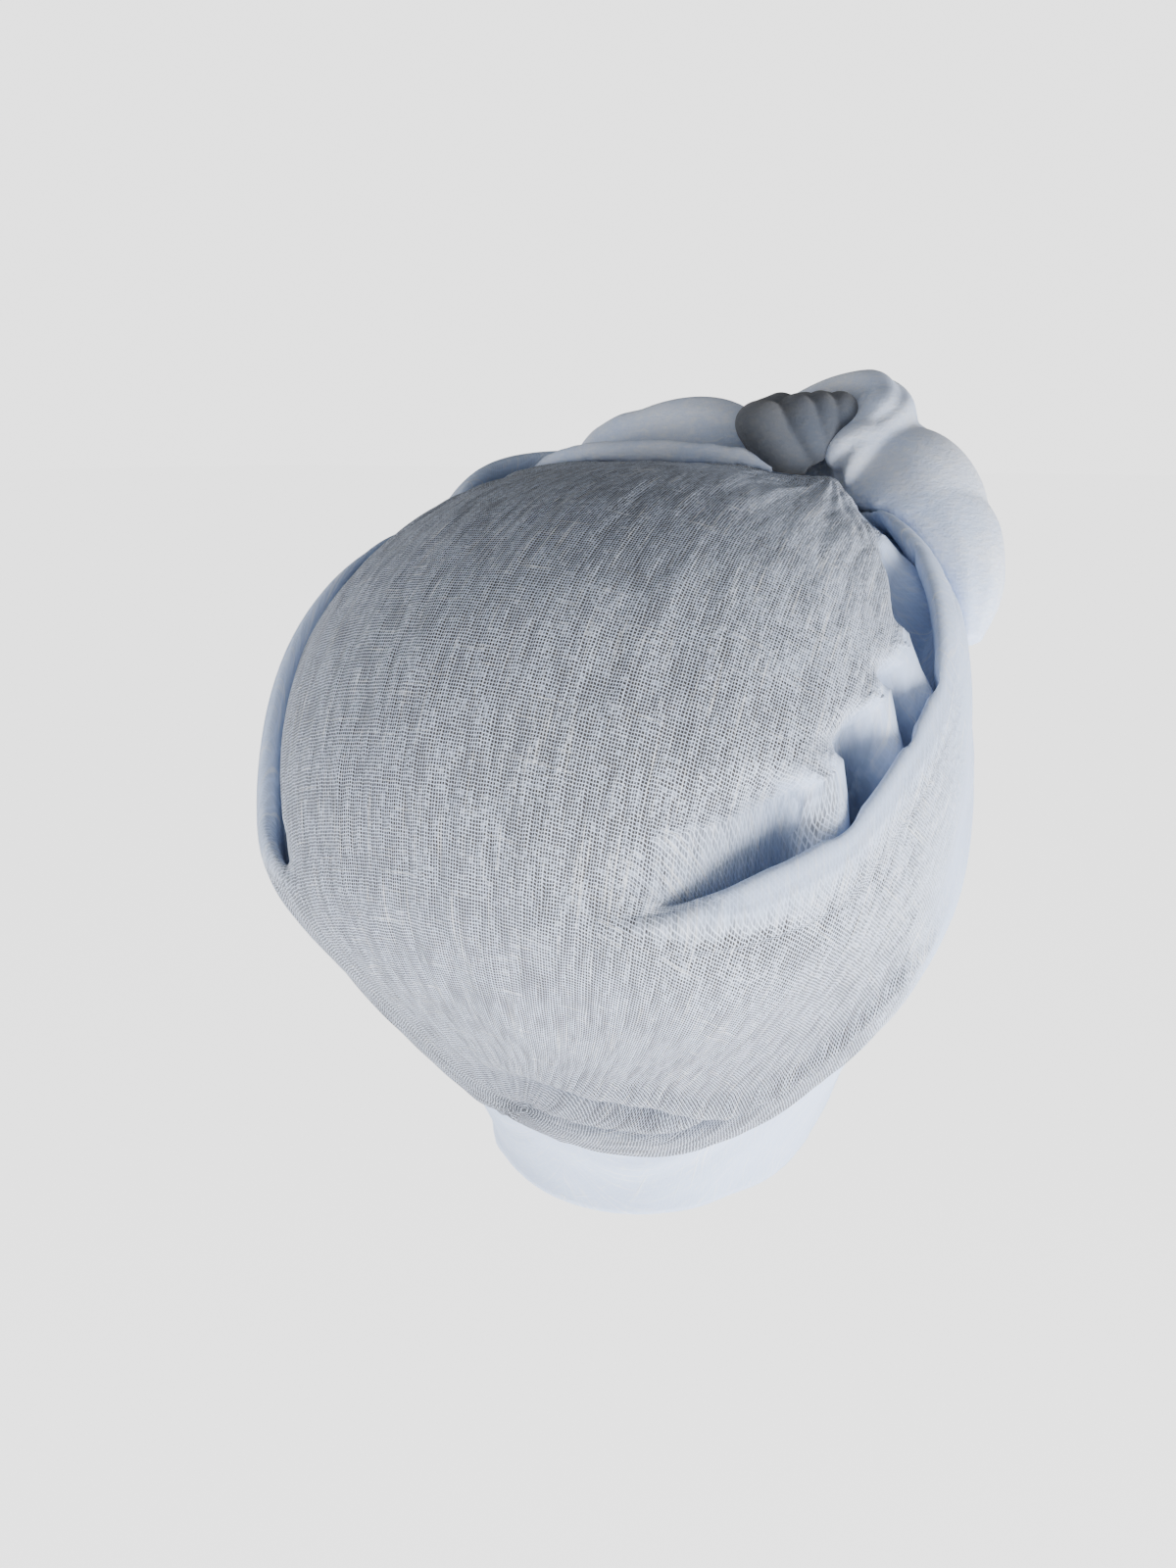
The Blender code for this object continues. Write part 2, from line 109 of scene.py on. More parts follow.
# Minus is a pocket under the rim, plus a tip of cloth that is caught up to the rim
GATHER_COLUMNS = ("turn", "depth")
GATHERS = (
    (-150, 0.0),
    (-110, -0.2),
    (-65, -0.4),
    (-52, -0.3),
    (-40, -0.2),
    (-20, 0.0),
    (26, 0.0),
    (34, -0.3),
    (41, -0.5),
    (47, -0.65),
    (49.5, 0.1),
    (51, 0.8),
    (53.5, 0.8),
    (55.5, -0.1),
    (57.5, -1.0),
    (60.5, -1.0),
    (62.5, -0.2),
    (64, 0.7),
    (65.5, 0.6),
    (67, -0.1),
    (69, -0.7),
    (71.5, 0.1),
    (74.5, 0.95),
    (77.5, 0.1),
    (82, -0.9),
    (92, -0.9),
    (98, -0.4),
    (103, 0.5),
    (108, -0.6),
    (118, 0.1),
    (130, -0.2),
)
# How deep the pockets are, how far up the crown they and the tips between them run, and how many
# degrees a metre they lean on the way, as far as LEAN_REACH from the pleat
GATHER_DEPTH = 0.0085
GATHER_FLOOR = -1.2
POCKET_LENGTH = 0.01575
TIP_LENGTH = 0.0189
TIP_STAND = 0.20
GATHER_LEAN = 400
LEAN_REACH = 0.03
# How far the pleat carries the cloth under its rim, stands off and fades out below, how sharply it
# closes at its ends and over how much of its lift it counts as inside. Last, how far the wrap's
# edge curls out, and over which last share of the way it rolls back in
PLEAT_TUCK = 0.012
PLEAT_LIFT = 0.0068
PLEAT_SPREAD = 0.060
PLEAT_FADE = 0.7
PLEAT_CLOSING = 2.6
PLEAT_INSIDE = 0.4
EDGE_CURL = 0.0024
EDGE_ROLL = 0.015
# Before is the place along the cloth before folding and slide how far the fold carries it down,
# as shares of PLEAT_TUCK; lift is how far out, as a share of PLEAT_LIFT. The last two are the same
# where a tip of cloth is caught up under the rim
PLEAT_COLUMNS = ("before", "slide", "lift", "caught_slide", "caught_lift")
PLEAT = (
    (-0.90, 0.55, -0.22, 0.45, 0.20),
    (-0.50, 1.35, -0.22, 0.50, 0.44),
    (-0.36, 1.45, -0.14, 0.48, 0.50),
    (-0.24, 1.30, -0.02, 0.42, 0.54),
    (0.00, 0.40, 0.12, 0.16, 0.57),
    (0.14, -0.12, 0.32, -0.06, 0.60),
    (0.28, -0.38, 0.62, -0.28, 0.72),
    (0.42, -0.28, 0.90, -0.22, 0.92),
    (0.60, 0.02, 1.00, 0.02, 1.00),
    (0.95, 0.10, 0.96, 0.10, 0.96),
)
# Turns round the head, and rows down the cloth over the crown, through the pleat and below it. The
# crown's rows start and end at shares of its length, and rows crowd towards the pleat and the edge
TURNS = 480
CROWN_ROWS = 74
CROWN_START = 0.012
CROWN_SPAN = 0.973
CROWN_CROWDING = 0.12
PLEAT_ROWS = 34
WRAP_ROWS = 74
WRAP_CROWDING = 0.16

# Two creases where the wrap slackens over the nape: how far above its edge each lies, in the same
# measure as down, and how deep it is as a share of CREASE_DEEP. Above each the cloth puffs out by
# a share of that depth, so many crease widths higher up and so widely spread
CREASE_DEEP = 0.0045
CREASE_WIDTH = 0.024
PUFF = 0.7
PUFF_ABOVE = 1.9
PUFF_SPREAD = 1.6
CREASE_COLUMNS = ("turn", "first", "first_deep", "second", "second_deep")
CREASES = (
    (-15, 0.22, 0.0, 0.11, 0.0),
    (8, 0.225, 0.3, 0.11, 0.5),
    (18, 0.225, 0.8, 0.115, 1.0),
    (30, 0.205, 1.0, 0.115, 1.0),
    (42, 0.14, 1.0, 0.095, 0.7),
    (51, 0.125, 1.0, 0.09, 0.0),
    (60, 0.16, 1.0, 0.09, 0.0),
    (71, 0.19, 0.9, 0.09, 0.0),
    (78, 0.15, 0.5, 0.09, 0.0),
    (90, 0.12, 0.0, 0.09, 0.0),
    (180, 0.12, 0.0, 0.09, 0.0),
)

# The cloth's threads run from the brow, under the knot, round the head: the place they run from,
# as shares of GIRTH_RADIUS, and the middle of the head that they are laid out from
GRAIN_POLE = Vector((0.0, -0.66, 0.75)).normalized()
GRAIN_MIDDLE = Vector((0, 0, 0.03))
# Furrows along the threads: width and length in metres, the seed of their noise, and their depth
FINE_FURROWS = (0.0034, 0.016, 1.5)
FINE_DEEP = 0.00042
BROAD_FURROWS = (0.0085, 0.040, 7.5)
BROAD_DEEP = 0.00050
LUMPS = (0.030, 0.035, 3.5)
LUMPS_DEEP = 0.0008
# The threads' two ends meet at this turn about the pole, in radians, where the furrows fade out
SEAM = 2.5
SEAM_WIDTH = 0.4

# How much shade is painted inside the pockets and in the creases. The one beside the knot, from
# this turn on, is shallow and gets lighter painted shade
POCKET_DARK = 0.6
KNOT_POCKET_DARK = 0.15
KNOT_POCKET = 72
CREASE_DARK = 1.3
# The gaps between the threads close where the gathers' depth changes this much from turn to turn,
# and in the creases by a share
PULLED = 0.12
CREASE_CLOSED = 0.4

# The cloth is drawn tight over so many rows, from a few rows before the pleat, and a few more on
# the right past a turn. Behind, up to a turn, it grows loose again in the last rows of the pleat
TIGHT_ROWS = 10
TIGHT_BEFORE = 4
TIGHT_SOONER = 5
TIGHT_RIGHT = 50
LOOSE_ROWS = 9
LOOSE_BEHIND = 62
# How sheer the cloth is: denser over the crown's top and on the wearer's right, and more open low
# on the wrap
SHEER = 1.42
SHEER_TOP = 0.66
SHEER_LOW = 0.45
DENSE_RIGHT = 0.42

# Where the crown's cloth is drawn up into the knot: a small peak with gathers running out from it
PEAK = np.array((-0.0415, -0.0215))
PEAK_WAY = np.array((-0.525, 0.851))
PEAK_RISE = 0.0040
PEAK_WIDTH = 0.0068
PEAK_LENGTH = 0.015
PEAK_ABOVE = 0.09
RAYS = 27
RAYS_DEEP = 0.00060
RAYS_START = 0.008
RAYS_LENGTH = 0.028
RAYS_ABOVE = 0.04


def column(rows, names, wanted):
    """One named column of a table as an array."""
    return np.array([row[names.index(wanted)] for row in rows], float)


def around(rows, names, wanted, turn):
    """A table's column at every turn of an array, eased from row to row round the head."""
    turns = column(rows, names, "turn")
    values = column(rows, names, wanted)
    apart = (np.roll(turns, -1) - np.roll(turns, 1)) % 360
    slopes = (np.roll(values, -1) - np.roll(values, 1)) / apart
    starts = turns - turns[0]
    here = (turn - turns[0]) % 360
    i = np.searchsorted(starts, here, side="right") - 1
    j = (i + 1) % len(values)
    span = (turns[j] - turns[i]) % 360
    s = (here - starts[i]) / span
    return (
        values[i] * (2 * s**3 - 3 * s**2 + 1)
        + slopes[i] * span * (s**3 - 2 * s**2 + s)
        + values[j] * (3 * s**2 - 2 * s**3)
        + slopes[j] * span * (s**3 - s**2)
    )


def eased(share):
    share = np.clip(share, 0.0, 1.0)
    return share * share * (3 - 2 * share)


def outline(turn, down):
    """Radius and height of the smooth cloth over the head: turn by column, down by row."""
    reach = around(OUTLINE, OUTLINE_COLUMNS, "reach", turn) * GIRTH_RADIUS
    widest = around(OUTLINE, OUTLINE_COLUMNS, "widest", turn) * CROWN_HEIGHT
    power = 2 / (CROWN_FULLNESS * around(OUTLINE, OUTLINE_COLUMNS, "full", turn))
    angle = np.clip(down, 0, 1) * pi / 2
    over = (
        reach * np.clip(np.sin(angle), 0, 1) ** power,
        widest + (CROWN_HEIGHT - widest) * np.clip(np.cos(angle), 0, 1) ** power,
    )
    hem_reach = around(OUTLINE, OUTLINE_COLUMNS, "hem_reach", turn) * NECK_RADIUS
    hem_height = -around(OUTLINE, OUTLINE_COLUMNS, "hem_drop", turn) * NAPE_DROP
    belly = around(OUTLINE, OUTLINE_COLUMNS, "belly", turn)
    share = np.clip(down - 1, 0, 1)
    inward = eased(share) - belly * 4 * share**1.5 * (1 - share)
    under = (reach + (hem_reach - reach) * inward, widest + (hem_height - widest) * share)
    return np.where(down <= 1, over, under)


def outline_frame(turn, down):
    """Point, downward direction and outward direction of the smooth cloth."""
    step = 0.004
    before, after = np.maximum(down - step, 0.001), np.minimum(down + step, 2)
    along = outline(turn, after) - outline(turn, before)
    along = along / np.linalg.norm(along, axis=0)
    return outline(turn, down), along, np.stack((-along[1], along[0]))


def in_head(turn, radius_height):
    """Places in the head's frame of sections given as radius and height."""
    angle = np.radians(turn)
    radius, height = radius_height
    return np.stack((-radius * np.sin(angle), radius * np.cos(angle), height + 0 * angle), axis=-1)


def eased_table(rows, names, steps):
    """A table as many evenly spaced rows, eased between the given ones, by column name."""
    values = np.array(rows, float)
    padded = np.vstack((2 * values[0] - values[1], values, 2 * values[-1] - values[-2]))
    made = []
    for where in np.linspace(0, len(values) - 1, steps):
        i = min(int(where), len(values) - 2)
        s = where - i
        p0, p1, p2, p3 = padded[i : i + 4]
        bend = 2 * p0 - 5 * p1 + 4 * p2 - p3 + s * (3 * (p1 - p2) + p3 - p0)
        made.append(p1 + 0.5 * s * (p2 - p0 + s * bend))
    return {name: np.array(made)[:, k] for k, name in enumerate(names)}


def grain(places):
    """Turn about the threads' pole, in radians, and distance from it, in metres, of places."""
    out = places - np.array(GRAIN_MIDDLE)
    out = out / np.linalg.norm(out, axis=-1, keepdims=True)
    pole = np.array(GRAIN_POLE)
    side = np.array((-1.0, 0.0, 0.0))
    back = np.cross(side, pole)
    across = np.arctan2(out @ side, out @ back)
    return across, np.arccos(np.clip(out @ pole, -1, 1)) * GIRTH_RADIUS


def spread_at(distance):
    """How far apart the threads lie at a distance from their pole, as a radius. They don't meet at
    the pole, and a quarter turn away from it they lie GIRTH_RADIUS apart.
    """
    return GIRTH_RADIUS * np.sqrt(np.sin(distance / GIRTH_RADIUS) ** 2 + 0.25) / 1.118


def crinkled(across, distance, size, length, seed):
    """Uneven furrows along the threads, from minus to plus one."""
    u = (across * spread_at(distance)).ravel() / size
    v = distance.ravel() / length
    made = [noise.noise(Vector((a, b, seed))) for a, b in zip(u, v)]
    return np.array(made).reshape(across.shape)


def wrap_grid():
    """The wrap's outside as a grid, its place before folding, where shade is painted on it and
    where its gaps are closed.
    """
    turn = np.linspace(-180, 180, TURNS, endpoint=False)[:, None]
    rim = around(RIM, RIM_COLUMNS, "down", turn)
    edge = around(RIM, RIM_COLUMNS, "edge", turn)
    raised = around(RIM, RIM_COLUMNS, "lift", turn) * PLEAT_LIFT
    depth = around(GATHERS, GATHER_COLUMNS, "depth", turn)
    caught = np.clip(depth, 0, 1)
    pocket = np.clip(depth, GATHER_FLOOR, 0) * GATHER_DEPTH
    opened = np.clip(around(RIM, RIM_COLUMNS, "open", turn), 0, 1)
    folded = opened**PLEAT_CLOSING
    tuck = PLEAT_TUCK / (GIRTH_RADIUS * pi / 2)
    first = rim + PLEAT[0][0] * tuck
    last = rim + PLEAT[-1][0] * tuck

    # Over the crown, with the pockets and tips sunk into it where it nears the pleat
    share = np.linspace(0, 1, CROWN_ROWS)[None, :]
    share = CROWN_START + CROWN_SPAN * (share + CROWN_CROWDING * np.sin(pi * share))
    down_crown = first * share
    away = (1 - share) * first * GIRTH_RADIUS * pi / 2
    lean = GATHER_LEAN * np.minimum(away, LEAN_REACH) * opened
    leaning = around(GATHERS, GATHER_COLUMNS, "depth", turn + lean)
    point, _, outward = outline_frame(turn, down_crown)
    near = eased(1 - away / POCKET_LENGTH)
    sunk = np.clip(leaning, GATHER_FLOOR, 0) * GATHER_DEPTH * near
    stood = np.clip(leaning, 0, 1) * raised * TIP_STAND * eased(1 - away / TIP_LENGTH)
    crown = point + outward * (sunk + stood) * opened

    # Under the rim of the pleat and out again
    table = eased_table(PLEAT, PLEAT_COLUMNS, PLEAT_ROWS)
    rows = [table[name][None, :] for name in PLEAT_COLUMNS]
    before, slide, lift, caught_slide, caught_lift = rows
    down_pleat = rim + before * tuck
    point, along, outward = outline_frame(turn, down_pleat)
    inner = eased(1 - (lift - PLEAT[0][2]) / PLEAT_INSIDE)
    slide = slide * (1 - caught) + caught_slide * caught
    stand = (lift * (1 - caught) + caught_lift * caught) * raised + inner * pocket
    pleat = point + along * slide * PLEAT_TUCK * folded + outward * stand * opened

    # From the pleat to the wrap's edge, with the creases over the nape
    share = np.linspace(0, 1, WRAP_ROWS + 1)[None, 1:]
    share = share + WRAP_CROWDING * np.sin(pi * share)
    down_wrap = last + (edge - last) * share
    point, _, outward = outline_frame(turn, down_wrap)
    spread = PLEAT_SPREAD / (GIRTH_RADIUS * pi / 2)
    fade = 1 - PLEAT_FADE * eased((down_wrap - last) / spread)
    curl = EDGE_CURL * (eased(2 * share - 1) - 0.5 * eased((share - 1 + EDGE_ROLL) / EDGE_ROLL))
    above = edge - down_wrap
    creases = np.zeros_like(above)
    for which in ("first", "second"):
        off = (above - around(CREASES, CREASE_COLUMNS, which, turn)) / CREASE_WIDTH
        strength = np.clip(around(CREASES, CREASE_COLUMNS, which + "_deep", turn), 0, 1)
        puff = PUFF * np.exp(-((off - PUFF_ABOVE) ** 2) / PUFF_SPREAD)
        creases += CREASE_DEEP * strength * (puff - np.exp(-(off**2)))
    wrap = point + outward * (PLEAT[-1][2] * raised * fade * opened + curl + creases)

    down = np.concatenate((down_crown, down_pleat, down_wrap), axis=1)
    smooth = in_head(turn, outline(turn, down))
    places = in_head(turn, np.concatenate((crown, pleat, wrap), axis=2))

    # Painted shade inside the pockets and creases, and the gaps closed where shade is painted or
    # the cloth is pulled
    dark = POCKET_DARK - (POCKET_DARK - KNOT_POCKET_DARK) * eased((turn - KNOT_POCKET) / 8)
    on_crown = dark * np.clip(-leaning, 0, 1) * near**3 * opened
    in_pleat = dark * inner * np.clip(-depth, 0, 1) * opened
    in_crease = np.clip(-CREASE_DARK * creases / CREASE_DEEP, 0, 1)
    shade = np.concatenate((on_crown, in_pleat, in_crease), axis=1)
    closed = np.minimum(2 * shade, 1)
    pulled = np.clip(np.abs(np.gradient(leaning, axis=0)) / PULLED, 0, 1) * near * opened
    closed[:, :CROWN_ROWS] = np.maximum(closed[:, :CROWN_ROWS], pulled)
    closed[:, CROWN_ROWS + PLEAT_ROWS :] *= CREASE_CLOSED
    return turn, down, smooth, places, opened, shade, closed


def normals_of(places):
    """Outward directions of a grid that closes on itself round the head."""
    down_step = np.gradient(places, axis=1)
    round_step = np.roll(places, -1, axis=0) - np.roll(places, 1, axis=0)
    normal = np.cross(down_step, round_step)
    return normal / np.maximum(np.linalg.norm(normal, axis=-1, keepdims=True), 1e-9)


def thinned(grid):
    """Every second turn and every third row of a grid, and its last row."""
    last = grid.shape[1] - 1
    return grid[::2][:, [*range(0, last, 3), last]]


def fades_at_seam(across):
    return 1 - eased((np.abs(across) - SEAM) / SEAM_WIDTH)


def shell(name, outer, inner, top_outer, top_inner):
    """A closed shell of a fine outer grid and a thinned inner one, joined at the top and edge."""
    points = [top_outer, top_inner] if top_outer is not None else []
    start = len(points)
    points += [tuple(p) for p in outer.reshape(-1, 3)]
    inner_start = len(points)
    points += [tuple(p) for p in inner.reshape(-1, 3)]
    many, rows = outer.shape[:2]
    few, inner_rows = inner.shape[:2]

    def at(i, k):
        return start + (i % many) * rows + k

    def inner_at(i, k):
        return inner_start + (i % few) * inner_rows + k

    faces = [
        (at(i, k), at(i, k + 1), at(i + 1, k + 1), at(i + 1, k))
        for i in range(many)
        for k in range(rows - 1)
    ]
    faces += [
        (inner_at(i + 1, k), inner_at(i + 1, k + 1), inner_at(i, k + 1), inner_at(i, k))
        for i in range(few)
        for k in range(inner_rows - 1)
    ]
    rims = [(rows - 1, inner_rows - 1, 1)]
    if top_outer is None:
        rims.append((0, 0, -1))
    else:
        faces += [(0, at(i, 0), at(i + 1, 0)) for i in range(many)]
        faces += [(1, inner_at(i + 1, 0), inner_at(i, 0)) for i in range(few)]
    for outer_row, inner_row, way in rims:
        for i in range(few):
            a, b, c = at(2 * i, outer_row), at(2 * i + 1, outer_row), at(2 * i + 2, outer_row)
            d, e = inner_at(i, inner_row), inner_at(i + 1, inner_row)
            faces += [face[::way] for face in ((a, d, b), (b, d, e), (b, e, c))]
    mesh = bpy.data.meshes.new(name)
    mesh.from_pydata(points, [], faces)
    mesh.shade_smooth()
    made = bpy.data.objects.new(name, mesh)
    bpy.context.scene.collection.objects.link(made)
    return made


def lay_grain(piece, across, distance, **measures):
    """Sets the cloth's own lengthwise and crosswise millimetres, and named measures, on a mesh."""
    mesh = piece.data
    corners = np.empty(len(mesh.loops), int)
    mesh.loops.foreach_get("vertex_index", corners)
    polygons = np.empty(len(mesh.polygons), int)
    mesh.polygons.foreach_get("loop_total", polygons)
    owner = np.repeat(np.arange(len(polygons)), polygons)
    angle = across[corners]
    highest = np.full(len(polygons), -9.0)
    np.maximum.at(highest, owner, angle)
    angle = np.where(highest[owner] - angle > pi, angle + 2 * pi, angle)
    reach = distance[corners]
    layer = mesh.uv_layers.new(name="grain")
    flat = np.stack((angle * spread_at(reach) * 1000, reach * 1000), axis=1)
    layer.data.foreach_set("uv", flat.ravel())
    for name, values in measures.items():
        mesh.attributes.new(name, "FLOAT", "POINT").data.foreach_set("value", values)


class Nodes:
    """A material's node tree, built up one node at a time."""

    def __init__(self, name):
        self.material = bpy.data.materials.new(name)
        self.material.use_nodes = True
        self.tree = self.material.node_tree
        self.shader = self.tree.nodes["Principled BSDF"]

    def link(self, value, socket):
        if isinstance(value, bpy.types.NodeSocket):
            self.tree.links.new(value, socket)
        else:
            socket.default_value = value

    def maths(self, operation, *values):
        made = self.tree.nodes.new("ShaderNodeMath")
        made.operation = operation
        for value, socket in zip(values, made.inputs):
            self.link(value, socket)
        return made.outputs[0]

    def times(self, first, second):
        return self.maths("MULTIPLY", first, second)

    def plus(self, first, second):
        return self.maths("ADD", first, second)

    def ramp(self, value, low, high, start=0.0, end=1.0):
        made = self.tree.nodes.new("ShaderNodeMapRange")
        made.interpolation_type = "SMOOTHSTEP"
        for number, socket in zip((value, low, high, start, end), made.inputs):
            self.link(number, socket)
        return made.outputs[0]

    def noise(self, place, scale, detail=2.0):
        made = self.tree.nodes.new("ShaderNodeTexNoise")
        self.link(place, made.inputs["Vector"])
        made.inputs["Scale"].default_value = scale
        made.inputs["Detail"].default_value = detail
        return made.outputs["Fac"]

    def place(self, x, y, z=0.0):
        made = self.tree.nodes.new("ShaderNodeCombineXYZ")
        for value, socket in zip((x, y, z), made.inputs):
            self.link(value, socket)
        return made.outputs[0]

    def parts(self, vector):
        made = self.tree.nodes.new("ShaderNodeSeparateXYZ")
        self.link(vector, made.inputs[0])
        return made.outputs

    def attribute(self, name, output):
        made = self.tree.nodes.new("ShaderNodeAttribute")
        made.attribute_name = name
        return made.outputs[output]

    def mixed(self, share, first, second):
        made = self.tree.nodes.new("ShaderNodeMix")
        made.data_type = "RGBA"
        self.link(share, made.inputs["Factor"])
        colours = [socket for socket in made.inputs if socket.type == "RGBA"]
        self.link(first, colours[0])
        self.link(second, colours[1])
        return [socket for socket in made.outputs if socket.type == "RGBA"][0]

    def raised(self, height, depth):
        made = self.tree.nodes.new("ShaderNodeBump")
        made.inputs["Strength"].default_value = 1.0
        made.inputs["Distance"].default_value = depth
        self.link(height, made.inputs["Height"])
        self.link(made.outputs[0], self.shader.inputs["Normal"])

    def cotton(self, roughness, sheen):
        """The soft, dull shine of loose cotton thread."""
        self.shader.inputs["Roughness"].default_value = roughness
        self.shader.inputs["Sheen Weight"].default_value = sheen
        self.shader.inputs["Sheen Roughness"].default_value = 0.6
        self.shader.inputs["Specular IOR Level"].default_value = 0.15


# Colours of the threads, thick or loose threads, the dark between them, and the painted shade
# inside pockets and creases
THREAD = (0.500, 0.605, 0.830, 1)
THREAD_LIGHT = (0.745, 0.785, 0.865, 1)
BETWEEN = (0.030, 0.026, 0.023, 1)
SHADED = (0.060, 0.075, 0.108, 1)
# Millimetres from thread to thread, and the depth of the weave's relief in metres
WARP_PITCH = 0.72
WEFT_PITCH = 0.80
RELIEF = 0.0008


def gauze_material(name):
    """Open plain weave: uneven threads, furrows along the warp, dark gaps where it is sheer."""
    made = Nodes(name)
    u, v, _ = made.parts(made.attribute("grain", "Vector"))
    sheer = made.attribute("sheer", "Fac")

    times, plus = made.times, made.plus

    def cloth_noise(crosswise, lengthwise, detail=2.0):
        """Uneven patches of the cloth, of so many millimetres across and along its warp."""
        place = made.place(times(u, 1 / crosswise), times(v, 1 / lengthwise))
        return made.noise(place, 1.0, detail)

    furrow = cloth_noise(2.2, 11.0)
    fine = cloth_noise(1.2, 2.0)
    slub = cloth_noise(18.0, 0.8)
    strand = cloth_noise(0.8, 24.0)
    patch = cloth_noise(15.0, 18.0)
    cell = cloth_noise(1.2, 1.3, 1.0)
    # The gaps of the weave, narrower in furrows, in close patches and beside thick threads
    warp = made.maths("SINE", times(plus(u, furrow), 2 * pi / WARP_PITCH))
    weft = made.maths("SINE", times(plus(v, furrow), 2 * pi / WEFT_PITCH))
    gaps = times(made.ramp(warp, -0.95, -0.30), made.ramp(weft, -0.95, -0.30))
    gaps = times(gaps, made.ramp(cell, 0.32, 0.58, 0.55, 1.0))
    loose = times(made.ramp(furrow, 0.65, 0.35, 0.80, 1.0), made.ramp(patch, 0.3, 0.65, 0.85, 1.0))
    shown = plus(times(gaps, loose), made.ramp(furrow, 0.58, 0.30, 0.05, 0.22))
    thick = plus(made.ramp(slub, 0.62, 0.74, 0.0, 0.45), made.ramp(strand, 0.60, 0.72, 0.0, 0.4))
    shown = times(shown, made.maths("SUBTRACT", 1.0, thick))
    dark = made.maths("MINIMUM", times(shown, sheer), 0.97)
    # Thick and loose threads are lighter, and so is the open cloth's single layer
    light = plus(made.ramp(slub, 0.60, 0.74, 0.0, 0.6), made.ramp(strand, 0.58, 0.72, 0.0, 0.6))
    light = plus(light, made.ramp(fine, 0.48, 0.72, 0.0, 0.3))
    light = plus(light, made.ramp(sheer, 0.1, 0.8, 0.0, 0.35))
    threads = made.mixed(light, THREAD, THREAD_LIGHT)
    cloth = made.mixed(dark, threads, BETWEEN)
    # Painted shade: the colour is mixed towards SHADED where the shade measure marks pockets and
    # creases
    hidden = times(made.attribute("shade", "Fac"), made.ramp(fine, 0.7, 0.4, 0.75, 1.0))
    made.link(made.mixed(hidden, cloth, SHADED), made.shader.inputs["Base Color"])
    # Furrows and crinkle stand up, gaps lie deeper and slubs lie on top
    creased = made.ramp(sheer, 0.10, 0.35, 0.15, 1.0)
    creased = times(creased, made.ramp(sheer, 0.55, 0.95, 1.2, 0.55))
    height = times(plus(times(furrow, 0.7), times(fine, 0.6)), creased)
    sunk = times(gaps, made.ramp(sheer, 0.0, 1.0, 0.03, 0.20))
    height = plus(made.maths("SUBTRACT", height, sunk), times(made.ramp(slub, 0.60, 0.74), 0.10))
    made.raised(height, RELIEF)
    made.cotton(0.92, 0.05)
    return made.material


def drawn_up(places, uneven):
    """How far the crown's cloth stands up where it is drawn into the knot, with its gathers."""
    off = places[..., :2] - PEAK
    along = off @ PEAK_WAY
    across = off @ np.array((PEAK_WAY[1], -PEAK_WAY[0]))
    long = np.where(along > 0, PEAK_LENGTH, 0.5 * PEAK_LENGTH)
    high = np.exp(-((across / PEAK_WIDTH) ** 2) - (along / long) ** 2)
    reach = np.hypot(along, across)
    fades = eased(reach / RAYS_START) * np.exp(-reach / RAYS_LENGTH) * (places[..., 2] > RAYS_ABOVE)
    rays = np.sin(RAYS * np.arctan2(across, along) + 4 * uneven)
    return PEAK_RISE * high * (places[..., 2] > PEAK_ABOVE) + RAYS_DEEP * rays * fades


def crown_wrap():
    turn, down, smooth, places, opened, shade, closed = wrap_grid()
    across, distance = grain(smooth)
    seam = fades_at_seam(across)
    rows = np.arange(places.shape[1])[None, :]
    behind = eased((rows - CROWN_ROWS - PLEAT_ROWS + LOOSE_ROWS) / LOOSE_ROWS)
    behind = behind * (1 - eased((turn - LOOSE_BEHIND) / 25))
    sooner = TIGHT_BEFORE + TIGHT_SOONER * eased((turn - TIGHT_RIGHT) / 6)
    drawn = eased((rows - CROWN_ROWS + sooner) / TIGHT_ROWS)
    in_pleat = drawn * opened * (1 - 0.9 * behind)
    tight = 1 - 0.75 * in_pleat
    normal = normals_of(places)
    fine = crinkled(across, distance, *FINE_FURROWS)
    broad = crinkled(across, distance, *BROAD_FURROWS)
    lumps = crinkled(across, distance, *LUMPS)
    rays = drawn_up(places, broad)
    furrows = (FINE_DEEP * fine + BROAD_DEEP * broad) * seam * tight
    relief = furrows + LUMPS_DEEP * lumps * seam + rays * tight
    outer = places + normal * relief[..., None]
    inner = thinned(places) - thinned(normal) * CLOTH
    top = (0, 0, float(outer[:, 0, 2].mean()))
    piece = shell("crown_wrap_cloth", outer, inner, top, (0, 0, top[2] - CLOTH))
    right = eased((turn - 30) / 40) * eased((150 - turn) / 30)
    low = eased((down - 0.95) / 0.6)
    sheer = SHEER * (SHEER_TOP + (1 - SHEER_TOP) * eased(down / 0.5))
    sheer = sheer * (1 - DENSE_RIGHT * right * (1 - low)) * (1 + SHEER_LOW * low)
    sheer = sheer * (1 - 0.9 * in_pleat) * (1 - 0.95 * closed)

    def both_sides(values, top):
        return np.concatenate(((top, top), values.ravel(), thinned(values).ravel()))

    lay_grain(
        piece,
        both_sides(across, 0.0),
        both_sides(distance, 0.08),
        sheer=both_sides(sheer, 1.0),
        shade=both_sides(shade, 0.0),
    )
    piece.data.materials.append(gauze_material("crown gauze"))
    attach(piece, "root")
    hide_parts("crown_wrap")
    return outer


wrap_outside = crown_wrap()


# The folded band under the wrap: the scarf's lower edge, folded double, from under the wrap down to
# the neck's hem and round to the brow. It is pulled snug and creased where the wrap lies on it.

BAND_CLOTH = 0.0016
BAND_ROWS = 44
BAND_TURNS = 400
# How far up under the wrap it starts, and over what way down it comes out flush with the wrap
BAND_OVERLAP = 0.22
FLUSH = 0.22
BAND_GAP = 0.0008
